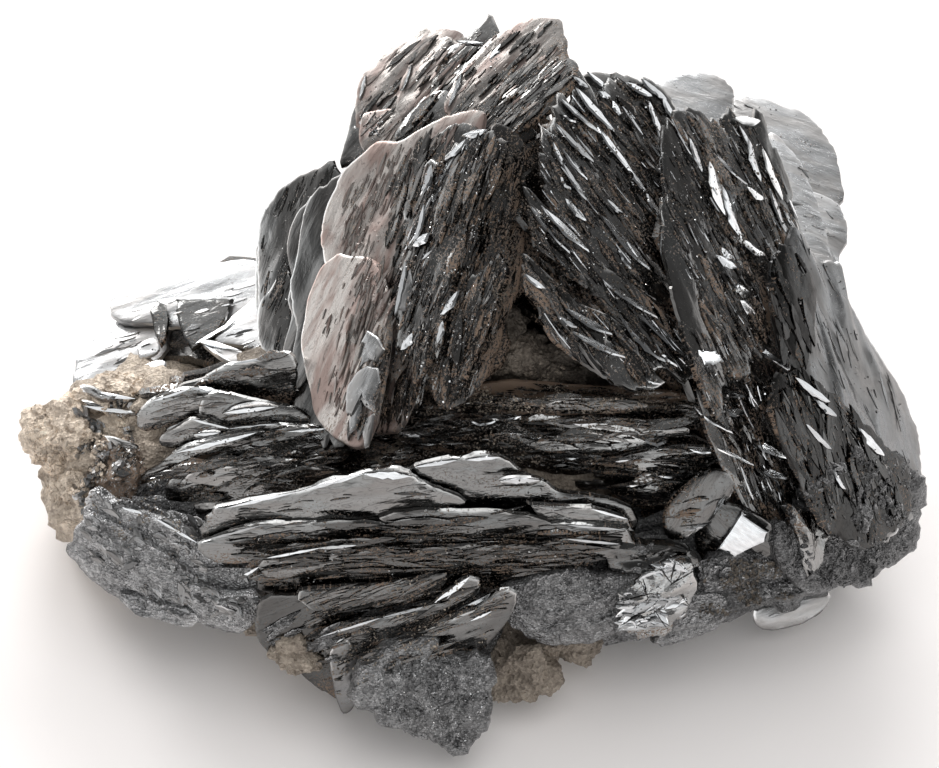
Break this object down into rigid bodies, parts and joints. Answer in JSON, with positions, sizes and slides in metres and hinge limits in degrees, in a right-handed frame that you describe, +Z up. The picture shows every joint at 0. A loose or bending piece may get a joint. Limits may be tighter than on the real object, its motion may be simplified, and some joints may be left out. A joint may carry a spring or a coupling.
{
  "type": "hematite crystal specimen",
  "caption": "Hand specimen of specular hematite: books of thin, mirror-bright black plates fanned round a central hollow, grown on a brown granular rock matrix with a flat underside.",
  "frame": {"origin": "centre of the bounding box, on the flat underside", "axes": "+Z up from the flat underside, +X along the longest extent, -Y towards the side that the display face looks to"},
  "size_m": [0.0712, 0.0554, 0.0413],
  "materials": {
    "hematite": "mirror-bright metallic black plates with rusty brown film and dust in places",
    "granular_hematite": "broken, granular hematite, dark grey and sparkling",
    "brown_matrix": "dull, rough brown rock"
  },
  "bodies": {
    "root": {"left_book": "hematite", "left_flank_plates": "hematite", "top_plates": "hematite", "upper_right_book": "hematite", "right_book": "hematite", "right_end_plate": "hematite", "middle_book": "hematite", "front_book": "hematite", "left_blades": "hematite", "rear_left_rosette": "hematite", "rear_right_rosette": "hematite", "lower_right_plate": "hematite", "lower_left_mass": "granular_hematite", "front_tip": "granular_hematite", "lower_right_mass": "granular_hematite", "matrix": "brown_matrix"}
  },
  "joints": []
}
